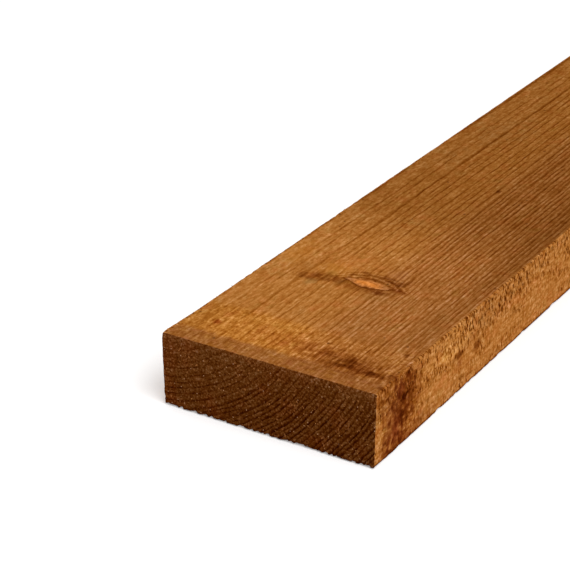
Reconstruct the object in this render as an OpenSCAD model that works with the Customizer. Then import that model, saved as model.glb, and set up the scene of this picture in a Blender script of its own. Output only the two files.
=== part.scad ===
// Sawn timber beam: one length of rectangular stock, lying on its broad face.
// The grain runs along Y. The origin is the middle of the lower broad face.

/* [Section] */
// Width of the two broad faces
beam_width = 150; // [60:5:300]
// Thickness, from one broad face to the other
beam_thickness = 50; // [19:1:100]
// Radius of the four long edges, as the saw and handling leave them
edge_radius = 0.8; // [0.2:0.1:4]

/* [Length] */
// Length of the stock, from one sawn end to the other
beam_length = 2500; // [300:50:6000]

/* [Hidden] */
$fn = 48;

// Middles of the four edge circles, in the section's own plane
edge_x = beam_width / 2 - edge_radius;
edge_low = edge_radius;
edge_high = beam_thickness - edge_radius;

// The sawn section, X across and Y up: two crossed rectangles and a circle in each corner
module section() {
    translate([-beam_width / 2, edge_low])
        square([beam_width, edge_high - edge_low]);
    translate([-edge_x, 0])
        square([2 * edge_x, beam_thickness]);
    for (x = [-edge_x, edge_x], y = [edge_low, edge_high])
        translate([x, y])
            circle(r = edge_radius);
}

// The whole beam, sawn square at both ends
module beam() {
    color("peru")
        translate([0, beam_length / 2, 0])
            rotate([90, 0, 0])
                linear_extrude(height = beam_length)
                    section();
}

beam();
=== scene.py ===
"""Sawn Douglas fir beam, laid out as an add-on: the dressed beam, its torn fibres and a plain studio.

Lengths inside the node trees are millimetres measured on the beam itself: across from its left edge,
along from its near end and deep from its upper face.
"""

import math
from collections import namedtuple

import bpy
import numpy as np
from mathutils import Matrix, Vector


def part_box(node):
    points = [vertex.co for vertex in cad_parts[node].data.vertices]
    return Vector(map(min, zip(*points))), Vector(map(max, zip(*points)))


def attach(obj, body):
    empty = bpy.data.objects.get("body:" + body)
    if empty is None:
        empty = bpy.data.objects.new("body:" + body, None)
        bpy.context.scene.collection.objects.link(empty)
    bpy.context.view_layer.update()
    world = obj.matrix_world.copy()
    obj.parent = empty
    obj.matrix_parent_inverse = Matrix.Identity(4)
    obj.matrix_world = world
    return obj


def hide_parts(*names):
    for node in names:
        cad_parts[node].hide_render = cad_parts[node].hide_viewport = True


bl_info = {
    "name": "Sawn Fir Beam",
    "version": (1, 0, 0),
    "blender": (4, 5, 0),
    "location": "3D View > Sidebar > Sawn Beam",
    "description": "Dresses a sawn fir beam with growth rings, knots, torn grain and a brown treatment",
    "category": "Add Mesh",
}

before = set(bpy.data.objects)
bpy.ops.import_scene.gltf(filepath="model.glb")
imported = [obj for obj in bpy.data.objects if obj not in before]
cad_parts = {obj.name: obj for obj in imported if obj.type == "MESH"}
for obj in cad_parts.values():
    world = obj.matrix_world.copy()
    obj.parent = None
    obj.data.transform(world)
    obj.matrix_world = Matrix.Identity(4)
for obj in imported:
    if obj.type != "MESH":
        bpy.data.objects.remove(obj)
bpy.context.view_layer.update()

BODY = "root"
BEAM_NODE = "beam"
LOW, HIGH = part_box(BEAM_NODE)
MM = 0.001
WIDTH, LENGTH, THICKNESS = (HIGH - LOW) / MM


def srgb(red, green, blue):
    """A colour as a paint chart gives it, 0 to 255, in the linear form that Blender's sockets hold."""
    shares = [part / 255 for part in (red, green, blue)]
    return tuple(s / 12.92 if s <= 0.04045 else ((s + 0.055) / 1.055) ** 2.4 for s in shares)


# ---------------------------------------------------------------------------------------------------
# Random patterns
# ---------------------------------------------------------------------------------------------------

# How long a pattern's lumps are across, along and deep, in millimetres, then its seed and its detail.
# Patterns that follow the rings are laid out by distance from the pith, by distance along and by arc.
PATTERNS = {
    # The rings. The lumps of the years and of the strength are counted in rings.
    "ring drift": (95.0, 620.0, 95.0, 1, 1.0),
    "ring sway": (26.0, 150.0, 26.0, 2, 1.0),
    "ring ripple": (5.0, 19.0, 5.0, 12, 2.0),
    "good and bad years": (1.7, 1.0, 1.0, 3, 1.0),
    "ring strength": (0.73, 1.0, 1.0, 4, 1.0),
    "ring fade": (4.0, 45.0, 1.0, 29, 1.0),
    "ring fibre": (1.5, 14.0, 1.5, 6, 2.0),
    "ring breaks": (3.0, 10.0, 3.0, 10, 2.0),
    # The knots
    "knot ripple": (9.0, 4.0, 9.0, 30, 1.0),
    "knot wear": (2.6, 4.0, 2.6, 35, 2.0),
    "knot tears": (5.0, 3.0, 5.0, 36, 2.0),
    # The long faces
    "band edge": (7.0, 20.0, 7.0, 5, 2.0),
    "blotches": (13.0, 30.0, 13.0, 8, 2.0),
    "wash": (34.0, 75.0, 34.0, 28, 1.0),
    "small blotches": (7.0, 11.0, 7.0, 37, 1.0),
    "dull blotches": (9.0, 5.0, 9.0, 38, 1.0),
    "hair lines": (1.15, 24.0, 1.0, 7, 1.0),
    "grit": (1.9, 5.6, 1.9, 9, 2.0),
    "crumbs": (1.3, 1.9, 1.3, 13, 1.0),
    "flecks": (2.8, 5.5, 2.8, 24, 2.0),
    "glints": (1.8, 4.6, 1.8, 25, 1.0),
    "short streaks": (2.4, 9.0, 2.8, 31, 1.0),
    "long streaks": (8.0, 380.0, 8.0, 39, 2.0),
    "ragged rims": (7.0, 4.5, 5.0, 11, 2.0),
    # The edge faces
    "upright tears": (5.0, 1.35, 3.6, 21, 2.0),
    "torn patches": (30.0, 30.0, 9.0, 22, 1.0),
    "fluff": (3.0, 3.0, 2.6, 27, 1.0),
    # The sawn ends
    "end pores": (1.7, 2.0, 1.7, 41, 1.0),
    "end fuzz": (4.0, 4.0, 4.0, 42, 1.0),
    "end red": (15.0, 9.0, 13.0, 43, 2.0),
    "end grit": (1.5, 1.5, 1.5, 44, 1.0),
    "end wisps": (2.0, 4.0, 7.0, 45, 1.0),
    "end beads": (3.0, 4.0, 5.0, 46, 1.0),
    "end clearings": (22.0, 9.0, 16.0, 47, 1.0),
    "end crumbs": (1.2, 2.0, 1.2, 48, 1.0),
    # Relief and gloss
    "fibre relief": (0.6, 9.0, 0.6, 51, 2.0),
    "fluff relief": (1.3, 2.4, 1.3, 52, 2.0),
    "pore relief": (0.9, 0.9, 0.9, 53, 2.0),
    "roughness": (3.0, 20.0, 3.0, 61, 1.0),
    "fibre shades": (1.6, 1.6, 1.6, 71, 1.0),
    # The body's shape
    "arris bites": (4.5, 4.5, 4.5, 81, 2.0),
    "saw marks": (7.0, 9.0, 7.0, 82, 2.0),
    "slow waves": (70.0, 210.0, 70.0, 83, 1.0),
    "saw teeth": (2.4, 9.0, 12.0, 84, 1.0),
    "low chips": (9.0, 6.5, 9.0, 85, 1.0),
}

# How large a dot pattern's cells are across, along and deep, its seed, and its share of cells with a dot
DOTS = {
    "pitch specks": (9.0, 12.0, 9.0, 26, 0.3),
    "end sparks": (2.4, 2.4, 2.4, 49, 0.16),
}

NOISE_GAIN = 3.5  # spreads Blender's noise, which keeps near its middle, over -1 to 1
FAR_OFF = 9.0  # a distance that nothing reaches, for what isn't there


# ---------------------------------------------------------------------------------------------------
# Node trees written as formulas
# ---------------------------------------------------------------------------------------------------


class Field:
    """A value that varies from place to place: an output of a node tree, whose arithmetic adds nodes."""

    def __init__(self, nodes, socket):
        self.nodes = nodes
        self.socket = socket

    def __add__(self, other):
        return self.nodes.math("ADD", self, other)

    def __sub__(self, other):
        return self.nodes.math("SUBTRACT", self, other)

    def __rsub__(self, other):
        return self.nodes.math("SUBTRACT", other, self)

    def __mul__(self, other):
        return self.nodes.math("MULTIPLY", self, other)

    def __truediv__(self, other):
        return self.nodes.math("DIVIDE", self, other)

    __radd__ = __add__
    __rmul__ = __mul__

    def size(self):
        """The value without its sign."""
        return self.nodes.math("ABSOLUTE", self)

    def between(self, start, end):
        """0 at start and before, 1 at end and past it, and smooth between them. End may be the lower."""
        node = self.nodes.add("ShaderNodeMapRange", interpolation_type="SMOOTHSTEP")
        for key, value in (("Value", self), ("From Min", start), ("From Max", end)):
            self.nodes.feed(node.inputs[key], value)
        return Field(self.nodes, node.outputs["Result"])


class Nodes:
    """Adds nodes to one tree. Wherever a value is wanted, a number or a Field will do."""

    ROWS = 12
    COLUMN_STEP, ROW_STEP = 190, 170
    MIX_UNDER, MIX_OVER, MIX_RESULT = 6, 7, 2

    def __init__(self, tree):
        self.tree = tree
        self.made = 0

    def add(self, kind, **settings):
        """A new node, set beside the last one so that the tree can be read."""
        node = self.tree.nodes.new(kind)
        for name, value in settings.items():
            setattr(node, name, value)
        column, row = divmod(self.made, self.ROWS)
        node.location = (column * self.COLUMN_STEP, -row * self.ROW_STEP)
        self.made += 1
        return node

    def feed(self, socket, value):
        """Gives an input its value, by a link where the value varies."""
        if isinstance(value, Field):
            self.tree.links.new(value.socket, socket)
        else:
            socket.default_value = value

    def wired(self, kind, values, **settings):
        """A new node with its inputs fed, by name or by number."""
        node = self.add(kind, **settings)
        for key, value in values.items():
            self.feed(node.inputs[key], value)
        return node

    def math(self, operation, *values):
        node = self.wired("ShaderNodeMath", dict(enumerate(values)), operation=operation)
        return Field(self, node.outputs[0])

    def vector(self, operation, *values):
        node = self.wired("ShaderNodeVectorMath", dict(enumerate(values)), operation=operation)
        return Field(self, node.outputs[0])

    def length(self, vector):
        node = self.wired("ShaderNodeVectorMath", {0: vector}, operation="LENGTH")
        return Field(self, node.outputs["Value"])

    def scaled(self, vector, factor):
        """A vector or colour times a number."""
        node = self.wired("ShaderNodeVectorMath", {0: vector, "Scale": factor}, operation="SCALE")
        return Field(self, node.outputs[0])

    def least(self, *values):
        found = values[0]
        for value in values[1:]:
            found = self.math("MINIMUM", found, value)
        return found

    def most(self, *values):
        found = values[0]
        for value in values[1:]:
            found = self.math("MAXIMUM", found, value)
        return found

    def far(self, *parts):
        """How long a line is whose parts are these, each square to the others."""
        total = parts[0] * parts[0]
        for part in parts[1:]:
            total = total + part * part
        return self.math("SQRT", total)

    def join(self, x, y, z):
        return Field(self, self.wired("ShaderNodeCombineXYZ", {0: x, 1: y, 2: z}).outputs[0])

    def split(self, vector):
        return [Field(self, out) for out in self.wired("ShaderNodeSeparateXYZ", {0: vector}).outputs]

    def cloud(self, place, name, more_seed=0):
        """A smooth random value, mostly within -1 to 1, with the lumps of the named pattern."""
        *lumps, seed, detail = PATTERNS[name]
        seed += more_seed
        start = (seed * 7.31, seed * 3.17, seed)
        spot = self.vector("ADD", self.vector("DIVIDE", place, lumps), start)
        inputs = {"Vector": spot, "Scale": 1.0, "Detail": detail}
        return (Field(self, self.wired("ShaderNodeTexNoise", inputs).outputs[0]) - 0.5) * NOISE_GAIN

    def dots(self, place, name):
        """How far the nearest dot's middle is, in cells. Only a share of the cells has a dot."""
        *cell, seed, share = DOTS[name]
        start = (seed * 5.3, seed, seed * 2.9)
        spot = self.vector("ADD", self.vector("DIVIDE", place, cell), start)
        node = self.wired("ShaderNodeTexVoronoi", {"Vector": spot, "Scale": 1.0})
        draw = self.split(Field(self, node.outputs["Color"]))[0]
        return Field(self, node.outputs["Distance"]) + self.math("GREATER_THAN", draw, share) * FAR_OFF

    def paint(self, share, under, over):
        """One colour over another, by share. The Mix node has sockets of its own for colours."""
        node = self.wired("ShaderNodeMix", {0: share}, data_type="RGBA")
        for socket, colour in ((self.MIX_UNDER, under), (self.MIX_OVER, over)):
            self.feed(node.inputs[socket], colour if isinstance(colour, Field) else (*colour, 1.0))
        return Field(self, node.outputs[self.MIX_RESULT])


# ---------------------------------------------------------------------------------------------------
# Settings that a user would change
# ---------------------------------------------------------------------------------------------------


def length_setting(name, description, default):
    return bpy.props.FloatProperty(
        name=name, description=description, default=default, min=0.0, unit="LENGTH", precision=4
    )


def colour_setting(name, description, default):
    return bpy.props.FloatVectorProperty(
        name=name, description=description, default=default, min=0.0, max=1.0, subtype="COLOR"
    )


class SawnBeamGrain(bpy.types.PropertyGroup):
    """Where the pith ran and how wide the growth rings are."""

    pith_across: length_setting(
        "Pith Aside", "How far outside the left edge the pith of the log ran", 0.012
    )
    pith_above: length_setting("Pith Above", "How far above the upper face the pith ran", 0.063)
    early_rings: length_setting("Inner Ring Width", "Width of a growth ring near the pith", 0.0043)
    later_rings: length_setting("Outer Ring Width", "Width of a growth ring further out", 0.00305)
    change_radius: length_setting(
        "Slowing Radius", "Distance from the pith at which the tree began to grow more slowly", 0.116
    )


class SawnBeamSurface(bpy.types.PropertyGroup):
    """How rough the saw left the beam."""

    arris_radius: length_setting("Arris Radius", "Least radius of the edges between faces", 0.0005)
    arris_wear: length_setting("Arris Wear", "Radius of the deepest bites out of the edges", 0.0016)
    corner_wear: length_setting("Corner Wear", "Radius of the knocked corners", 0.0013)
    saw_break_out: length_setting(
        "Saw Break Out", "Radius of the chips along the lower edge of the sawn end", 0.0033
    )
    corner_lean: length_setting(
        "Corner Lean", "How far the upper left corner of the near end leans out", 0.0011
    )
    low_arris_wear: length_setting(
        "Low Arris Wear", "Radius of the chips along the lower arrises", 0.0022
    )
    ring_relief: length_setting("Ring Relief", "How far the hard late wood stands proud", 0.00012)
    face_relief: length_setting("Face Relief", "Depth of the saw's unevenness over a face", 0.00018)
    fibre_length: length_setting("Fibre Length", "Length of the longest torn fibres", 0.0011)
    fibre_width: length_setting("Fibre Width", "Width of a torn fibre at its root", 0.0006)


class SawnBeamColours(bpy.types.PropertyGroup):
    """The treated wood's colours. A tint is the light that one full coat or depth leaves."""

    early_wood: colour_setting("Early Wood", "The soft, pale part of each ring", srgb(178, 115, 54))
    grain_tint: colour_setting("Grain Tint", "Tint of dark grain on the long faces", srgb(163, 127, 64))
    golden: colour_setting("Golden Wood", "Where the treatment dried yellow", srgb(196, 126, 50))
    ashen: colour_setting("Ashen Wood", "The greyer wood towards the right edge", srgb(174, 116, 84))
    reddish: colour_setting("Reddish Wood", "Where the treatment dried red", srgb(186, 106, 52))
    greyish: colour_setting("Greyish Wood", "Where the treatment dried grey", srgb(166, 116, 66))
    olive: colour_setting("Olive Wood", "Where the treatment dried olive", srgb(166, 116, 46))
    dull_band: colour_setting("Dull Band", "The dull band along the near end", srgb(148, 90, 42))
    dull_pink: colour_setting("Dull Band Pink", "Pinker patches of the dull band", srgb(166, 98, 60))
    dull_ochre: colour_setting("Dull Band Ochre", "Yellower patches of the dull band", srgb(172, 112, 44))
    # Painted shade: this tint darkens and greys the flat faces further along and towards the right
    painted_shade: colour_setting("Painted Shade", "Tint of the shade painted on the flat faces", srgb(163, 150, 122))
    # Glints: pale flecks of wood that are partly painted highlights on the matt long faces
    glints: colour_setting("Glints", "Pale glints in the long faces", srgb(214, 152, 80))
    pitch: colour_setting("Pitch", "Dark specks of pitch in the long faces", srgb(84, 42, 14))
    stain: colour_setting("Stain", "Tint of the pooled treatment", srgb(164, 136, 104))
    red_stain: colour_setting("Red Stain", "Tint of the pooled treatment's red", srgb(255, 172, 165))
    knot_heart: colour_setting("Knot Heart", "The bright middle of a knot", srgb(216, 130, 56))
    knot_rim: colour_setting("Knot Rim", "A knot's heart near its rim", srgb(184, 112, 54))
    knot_tips: colour_setting("Knot Tips", "A knot's heart near its two tips", srgb(172, 108, 56))
    end_grain: colour_setting("End Grain", "The sawn ends, dark with treatment", srgb(92, 49, 14))
    end_red: colour_setting("End Red", "Redder parts of the sawn ends", srgb(108, 49, 15))
    end_top: colour_setting("End Top", "The sawn ends just under the upper face", srgb(114, 64, 26))
    end_grit: colour_setting("End Grit", "Pale grit in the sawn ends", srgb(180, 117, 66))
    end_sparks: colour_setting("End Sparks", "Palest specks in the sawn ends", srgb(196, 150, 112))
    end_tint: colour_setting("End Tint", "Tint of dark grain on the sawn ends", srgb(163, 119, 52))
    torn_fibre: colour_setting("Torn Fibre", "The palest fibres torn up by the saw", srgb(204, 142, 84))
    fibre_shade: colour_setting("Fibre Shade", "The darkest fibres torn up by the saw", srgb(112, 66, 30))


class SawnBeamStudio(bpy.types.PropertyGroup):
    """The camera and the light."""

    azimuth: bpy.props.FloatProperty(
        name="Azimuth",
        description="Turn of the camera round the beam, from looking along it",
        default=math.radians(30.77),
        subtype="ANGLE",
    )
    elevation: bpy.props.FloatProperty(
        name="Elevation",
        description="Height of the camera above level",
        default=math.radians(25.61),
        subtype="ANGLE",
    )
    roll: bpy.props.FloatProperty(
        name="Roll", description="Lean of the camera", default=math.radians(0.65), subtype="ANGLE"
    )
    distance: length_setting("Distance", "From the camera to what it aims at", 1.2322)
    aim_across: length_setting("Aim Across", "Aim point on the upper face, from the left edge", 0.0286)
    aim_along: length_setting("Aim Along", "Aim point on the upper face, from the near end", 0.0986)
    lens: bpy.props.FloatProperty(
        name="Lens", description="Focal length in millimetres", default=119.5, subtype="DISTANCE_CAMERA"
    )
    room_light: bpy.props.FloatProperty(
        name="Room Light", description="Strength of the light from all round", default=0.55, min=0.0
    )
    lamp_power: bpy.props.FloatProperty(
        name="Lamp Power", description="Power of the large soft lamp", default=88.0, min=0.0, unit="POWER"
    )
    floor_colour: colour_setting("Floor", "Colour of the floor", (0.95, 0.95, 0.95))
    floor_glow: bpy.props.FloatProperty(
        name="Floor Glow", description="How much the floor outshines its light", default=0.25, min=0.0
    )


# ---------------------------------------------------------------------------------------------------
# How the wood grew
# ---------------------------------------------------------------------------------------------------

Knot = namedtuple("Knot", "along slope width height point reach push seed")
# A place: at is all three of across, along and deep, and out and down are from the pith
Place = namedtuple("Place", "at across along deep out down")
# Late and broad are the rings' dark lines, crisp and smeared, and draw is each ring's own strength
Growth = namedtuple("Growth", "late broad draw knots radius arc")

# The spike knot near the sawn end, then three plain ones further along. The slope is how steeply the
# branch falls as it grows out from the pith. A point of 1 gives a lens with sharp ends, and 2 an oval.
KNOTS = (
    Knot(along=129.0, slope=36.5, width=4.3, height=8.8, point=1.0, reach=132.0, push=1.7, seed=1),
    Knot(along=742.0, slope=62.0, width=7.5, height=7.0, point=2.0, reach=400.0, push=7.0, seed=2),
    Knot(along=1315.0, slope=33.0, width=6.0, height=7.0, point=2.0, reach=400.0, push=6.0, seed=3),
    Knot(along=1968.0, slope=50.0, width=8.0, height=8.0, point=2.0, reach=400.0, push=8.0, seed=4),
)


def measured(nodes, position, grain):
    """A position in metres as millimetres on the beam, and from the pith outward and downward."""
    corner = (LOW.x, LOW.y, HIGH.z)
    at = nodes.scaled(nodes.vector("SUBTRACT", position, corner), 1 / MM)
    across, along, up = nodes.split(at)
    deep = up * -1.0
    out = across + grain.pith_across / MM
    down = deep + grain.pith_above / MM
    return Place(at, across, along, deep, out, down)


KNOT_GROWS = (20.0, 150.0)  # the stretch of its reach over which a knot grows to its full size
KNOT_SLIM, KNOT_FATTENS = 0.65, 0.7  # its size by the pith, and how much more it is further out
KNOT_TAPER = 14.0
PUSH_WIDTH, PUSH_HEIGHT = 2.4, 1.6  # how far from a knot the rings bend, in its own half sizes
PUSH_TAPER = 40.0


def knot_shape(nodes, place, knot):
    """Where a place is beside a knot, as four values.

    The first is 1 at the knot's rim and less inside. The second is how far the knot pushes the rings
    outward, and the third how far along past its middle the place is. The last is 0 on its middle line
    and 1 at its two tips.
    """
    fall = math.radians(knot.slope)
    reach = place.out * math.cos(fall) + place.down * math.sin(fall)
    aside = place.out * math.sin(fall) - place.down * math.cos(fall)
    ahead = place.along - knot.along
    ripple = nodes.cloud(place.at, "knot ripple", knot.seed) * 0.12
    grown = reach.between(*KNOT_GROWS) * KNOT_FATTENS + KNOT_SLIM
    ended = reach.between(knot.reach, knot.reach + KNOT_TAPER) * FAR_OFF
    slim = nodes.math("POWER", ahead.size() / knot.width, knot.point)
    tall = nodes.math("POWER", aside.size() / knot.height, 2.0)
    rim = (slim + tall) / grown + ripple + ended
    wide = nodes.far(ahead / (PUSH_WIDTH * knot.width), aside / (PUSH_HEIGHT * knot.height))
    near = nodes.math("EXPONENT", wide * wide * -1.0)
    push = near * knot.push * reach.between(knot.reach + PUSH_TAPER, knot.reach)
    return rim, push, ahead, tall / grown


# How far the rings wander from true circles, in millimetres, by pattern
RING_WANDERS = {"ring drift": 1.4, "ring sway": 0.6, "ring ripple": 0.42}
GOOD_YEARS = 0.36  # how much wider a good year's ring is, as a share of a ring
CHANGE_BLEND = 12.0  # millimetres of radius either side of the slowing radius
# Shares of a year's growth: where the late wood starts in outer rings, how much later it starts in inner
# ones, where it is fully dark, and where it ends
LATE_START, INNER_LATER, LATE_FULL, LATE_END = 0.32, 0.26, 0.84, (1.0, 0.86)
# The same for the smeared rings of the torn band
BROAD_START, BROAD_END = (0.25, 0.75), (1.0, 0.75)


def growth(nodes, place, grain):
    """The growth rings at a place: how late in its ring's year the wood is, and each knot."""
    radius = nodes.far(place.out, place.down)
    for name, strength in RING_WANDERS.items():
        radius = radius + nodes.cloud(place.at, name) * strength
    knots = []
    for knot in KNOTS:
        rim, push, ahead, tall = knot_shape(nodes, place, knot)
        radius = radius - push
        knots.append((rim, ahead, tall))
    wide, narrow = grain.early_rings / MM, grain.later_rings / MM
    change = grain.change_radius / MM
    slowed = nodes.most(radius - change, 0.0)
    rings = radius / wide + slowed * (1 / narrow - 1 / wide)
    years = nodes.join(rings, 0.0, 0.0)
    rings = rings + nodes.cloud(years, "good and bad years") * GOOD_YEARS
    season = nodes.math("FRACT", rings)
    number = nodes.math("FLOOR", rings)
    draw = nodes.cloud(nodes.join(number, 0.0, 0.0), "ring strength")
    inner = radius.between(change + CHANGE_BLEND, change - CHANGE_BLEND)
    late_start = inner * INNER_LATER + LATE_START
    late = season.between(late_start, LATE_FULL) * season.between(*LATE_END)
    broad = season.between(*BROAD_START) * season.between(*BROAD_END)
    arc = nodes.math("ARCTAN2", place.out, place.down) * change
    return Growth(late, broad, draw, knots, radius, arc)


# ---------------------------------------------------------------------------------------------------
# The treated wood's finish
# ---------------------------------------------------------------------------------------------------

Stain = namedtuple("Stain", "across along deep half_across half_along half_deep soaked red ragged")
Patch = namedtuple("Patch", "across along deep half_across half_along half_deep share ragged colour")
# Shares of the edge faces, the flat faces, the sawn ends, the dull band and the bright, torn band
Zones = namedtuple("Zones", "edges flat ends dull bright")

# Places where the treatment pooled, by their middles and half sizes. Those 150 across are on the right
# edge face. Soaked and red are in full coats, and are below 0 where there is less of it than elsewhere.
STAINS = (
    Stain(103.0, 29.5, 0.0, 5.5, 4.5, 5.0, 0.44, 0.02, 0.9),
    Stain(107.5, 19.8, 0.0, 7.0, 4.0, 4.0, 0.5, 0.0, 0.7),
    Stain(114.5, 22.3, 0.0, 5.5, 3.0, 4.0, 0.5, 0.0, 0.6),
    Stain(117.0, 27.2, 0.0, 7.0, 7.0, 7.0, 0.68, 0.0, 0.8),
    Stain(127.0, 22.5, 0.0, 9.0, 7.0, 7.0, 0.5, 0.05, 0.9),
    Stain(138.5, 21.0, 0.0, 7.5, 4.6, 7.0, 0.75, 0.03, 0.8),
    Stain(118.0, 25.0, 0.0, 33.0, 17.0, 5.0, 0.33, 0.03, 0.9),
    Stain(86.0, 31.0, 0.0, 17.0, 9.0, 3.0, 0.18, 0.08, 1.2),
    Stain(33.0, 128.0, 0.0, 17.0, 24.0, 3.0, 0.07, 0.0, 0.9),
    Stain(63.0, 31.0, 0.0, 12.0, 11.0, 3.0, 0.1, 0.07, 1.2),
    Stain(20.0, 30.8, 0.0, 2.8, 3.8, 2.0, 0.5, 0.35, 0.6),
    Stain(142.0, 53.0, 0.0, 2.2, 3.4, 2.0, 0.8, 0.0, 0.5),
    Stain(79.0, 316.0, 0.0, 1.8, 3.6, 2.0, 0.9, 0.0, 0.4),
    Stain(150.0, 34.0, 20.0, 6.0, 26.0, 33.0, 0.4, 0.06, 0.8),
    Stain(150.0, 39.0, 16.0, 6.0, 15.0, 20.0, 0.42, 0.04, 1.1),
    Stain(150.0, 36.5, 31.0, 6.0, 14.0, 14.0, 0.46, 0.06, 1.1),
    Stain(150.0, 13.0, 7.0, 6.0, 14.0, 11.0, 0.36, 0.0, 1.1),
    Stain(150.0, 17.0, 34.0, 6.0, 9.0, 18.0, 0.26, 0.03, 1.2),
    Stain(150.0, 34.0, 49.0, 7.0, 42.0, 11.0, 0.44, 0.1, 1.0),
    Stain(150.0, 26.0, 48.0, 5.0, 9.0, 5.0, 0.4, 0.0, 1.0),
    Stain(150.0, 35.0, 17.5, 4.0, 4.2, 3.4, 0.9, 0.0, 0.7),
    Stain(150.0, 41.5, 17.0, 4.0, 3.2, 3.0, 0.75, 0.0, 0.7),
    Stain(150.0, 41.0, 4.5, 4.0, 2.6, 3.4, 0.5, 0.1, 0.7),
    Stain(150.0, 48.5, 11.0, 4.0, 2.0, 4.0, 0.5, 0.1, 0.7),
    Stain(150.0, 34.0, 29.5, 4.0, 2.6, 5.4, 0.75, 0.0, 0.7),
    Stain(150.0, 19.0, 27.0, 4.0, 2.0, 5.0, 0.38, 0.05, 0.8),
    Stain(150.0, 42.5, 8.5, 4.0, 5.0, 4.0, 0.4, 0.1, 0.6),
    Stain(150.0, 110.5, 22.5, 4.0, 7.5, 3.2, 0.95, 0.0, 0.9),
    Stain(150.0, 111.5, 29.0, 4.0, 4.5, 4.0, 0.5, 0.05, 0.6),
    Stain(150.0, 136.5, 27.5, 4.0, 5.5, 4.0, 0.8, 0.0, 0.7),
    Stain(150.0, 130.0, 18.5, 4.0, 9.0, 4.0, 0.3, 0.0, 0.8),
    Stain(150.0, 172.0, 11.0, 4.0, 46.0, 10.0, 0.1, 0.0, 0.9),
    Stain(150.0, 83.0, 14.0, 4.0, 18.0, 5.0, -0.24, 0.0, 0.7),
    Stain(150.0, 104.0, 18.5, 4.0, 15.0, 4.0, -0.2, 0.0, 0.7),
    Stain(150.0, 110.0, 11.0, 4.0, 24.0, 14.0, -0.17, 0.0, 0.8),
    Stain(141.0, 38.0, 0.0, 12.0, 18.0, 4.0, -0.14, 0.0, 0.8),
    Stain(30.5, 118.0, 0.0, 4.5, 4.5, 3.0, 0.45, 0.0, 0.7),
    Stain(37.5, 121.0, 0.0, 4.5, 7.5, 3.0, 0.6, 0.0, 0.7),
    Stain(46.0, 124.0, 0.0, 7.0, 7.0, 3.0, 0.45, -0.02, 0.7),
    Stain(53.5, 124.5, 0.0, 6.5, 4.5, 3.0, 0.55, -0.02, 0.6),
    Stain(57.8, 131.5, 0.0, 2.4, 6.0, 2.0, 0.4, 0.0, 0.6),
    Stain(73.0, 121.0, 0.0, 24.0, 5.5, 4.0, 0.4, 0.0, 0.5),
    Stain(76.0, 138.5, 0.0, 19.0, 7.5, 4.0, 0.3, 0.0, 0.6),
    Stain(64.5, 136.5, 0.0, 6.0, 2.8, 3.0, 0.25, 0.0, 0.7),
    Stain(65.0, 142.5, 0.0, 5.5, 2.2, 3.0, 0.35, 0.0, 0.7),
    Stain(74.0, 137.5, 0.0, 4.5, 1.8, 3.0, 0.2, 0.0, 0.7),
    Stain(81.0, 142.8, 0.0, 5.5, 2.4, 3.0, 0.45, 0.0, 0.7),
    Stain(93.0, 129.5, 0.0, 8.5, 3.6, 4.0, 0.52, 0.14, 0.8),
    Stain(97.2, 130.0, 0.0, 2.6, 2.0, 3.0, 0.3, 0.03, 0.5),
    Stain(84.0, 122.5, 0.0, 6.0, 2.8, 3.0, 0.26, 0.08, 0.8),
    Stain(88.5, 138.5, 0.0, 8.0, 2.2, 3.0, 0.4, 0.05, 0.8),
    Stain(86.0, 121.0, 0.0, 3.0, 4.0, 3.0, 0.45, 0.03, 0.7),
    Stain(93.0, 140.0, 0.0, 6.0, 8.0, 4.0, 0.35, 0.0, 0.9),
)

# Patches of another colour near the spike knot
PATCHES = (
    Patch(44.0, 139.0, 0.0, 13.0, 12.0, 3.0, 0.36, 0.8, srgb(204, 132, 52)),
    Patch(39.5, 111.5, 0.0, 4.2, 6.5, 3.0, 0.5, 0.9, srgb(164, 122, 68)),
    Patch(46.5, 131.0, 0.0, 4.5, 4.5, 3.0, 0.4, 0.9, srgb(170, 122, 54)),
    Patch(71.5, 140.0, 0.0, 6.0, 1.6, 3.0, 0.6, 0.5, srgb(194, 134, 72)),
    Patch(84.0, 150.0, 0.0, 8.0, 8.0, 4.0, 0.35, 0.9, srgb(176, 112, 68)),
    Patch(90.3, 143.0, 0.0, 1.8, 2.2, 2.0, 0.75, 0.4, srgb(216, 158, 102)),
    Patch(85.2, 131.2, 0.0, 1.6, 2.2, 2.0, 0.7, 0.4, srgb(206, 144, 84)),
    Patch(81.5, 140.5, 0.0, 3.0, 1.6, 2.0, 0.55, 0.5, srgb(196, 134, 74)),
    Patch(50.0, 155.0, 0.0, 15.0, 13.0, 4.0, 0.32, 0.8, srgb(190, 112, 50)),
    Patch(9.0, 146.0, 0.0, 12.0, 26.0, 4.0, 0.36, 0.9, srgb(190, 120, 44)),
    Patch(150.0, 24.0, 28.0, 4.0, 15.0, 22.0, 0.4, 1.0, srgb(146, 84, 50)),
    Patch(150.0, 31.0, 11.0, 4.0, 7.0, 9.0, 0.6, 1.2, srgb(150, 78, 46)),
    Patch(150.0, 27.0, 38.0, 4.0, 9.0, 12.0, 0.6, 1.2, srgb(156, 80, 44)),
)


# In the formulas below a plain factor is a strength: a share of a full coat, or of a full cover of paint.

# Where between its middle, 0, and its rim, 1, a mark fades: it is gone at the first, full at the second
MARK_FADE = (1.35, 0.1)


def spread(nodes, place, mark, uneven):
    """Share of a stain or a patch at a place: 1 in its middle, and ragged round its rim."""
    middle = (mark.across, mark.along, -mark.deep)
    halves = (mark.half_across, mark.half_along, mark.half_deep)
    finer = tuple(1 / half for half in halves)
    start = tuple(-spot / half for spot, half in zip(middle, halves))
    offset = nodes.vector("MULTIPLY_ADD", place.at, finer, start)
    away = nodes.math("MULTIPLY_ADD", uneven, mark.ragged, nodes.length(offset))
    return away.between(*MARK_FADE)


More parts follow.
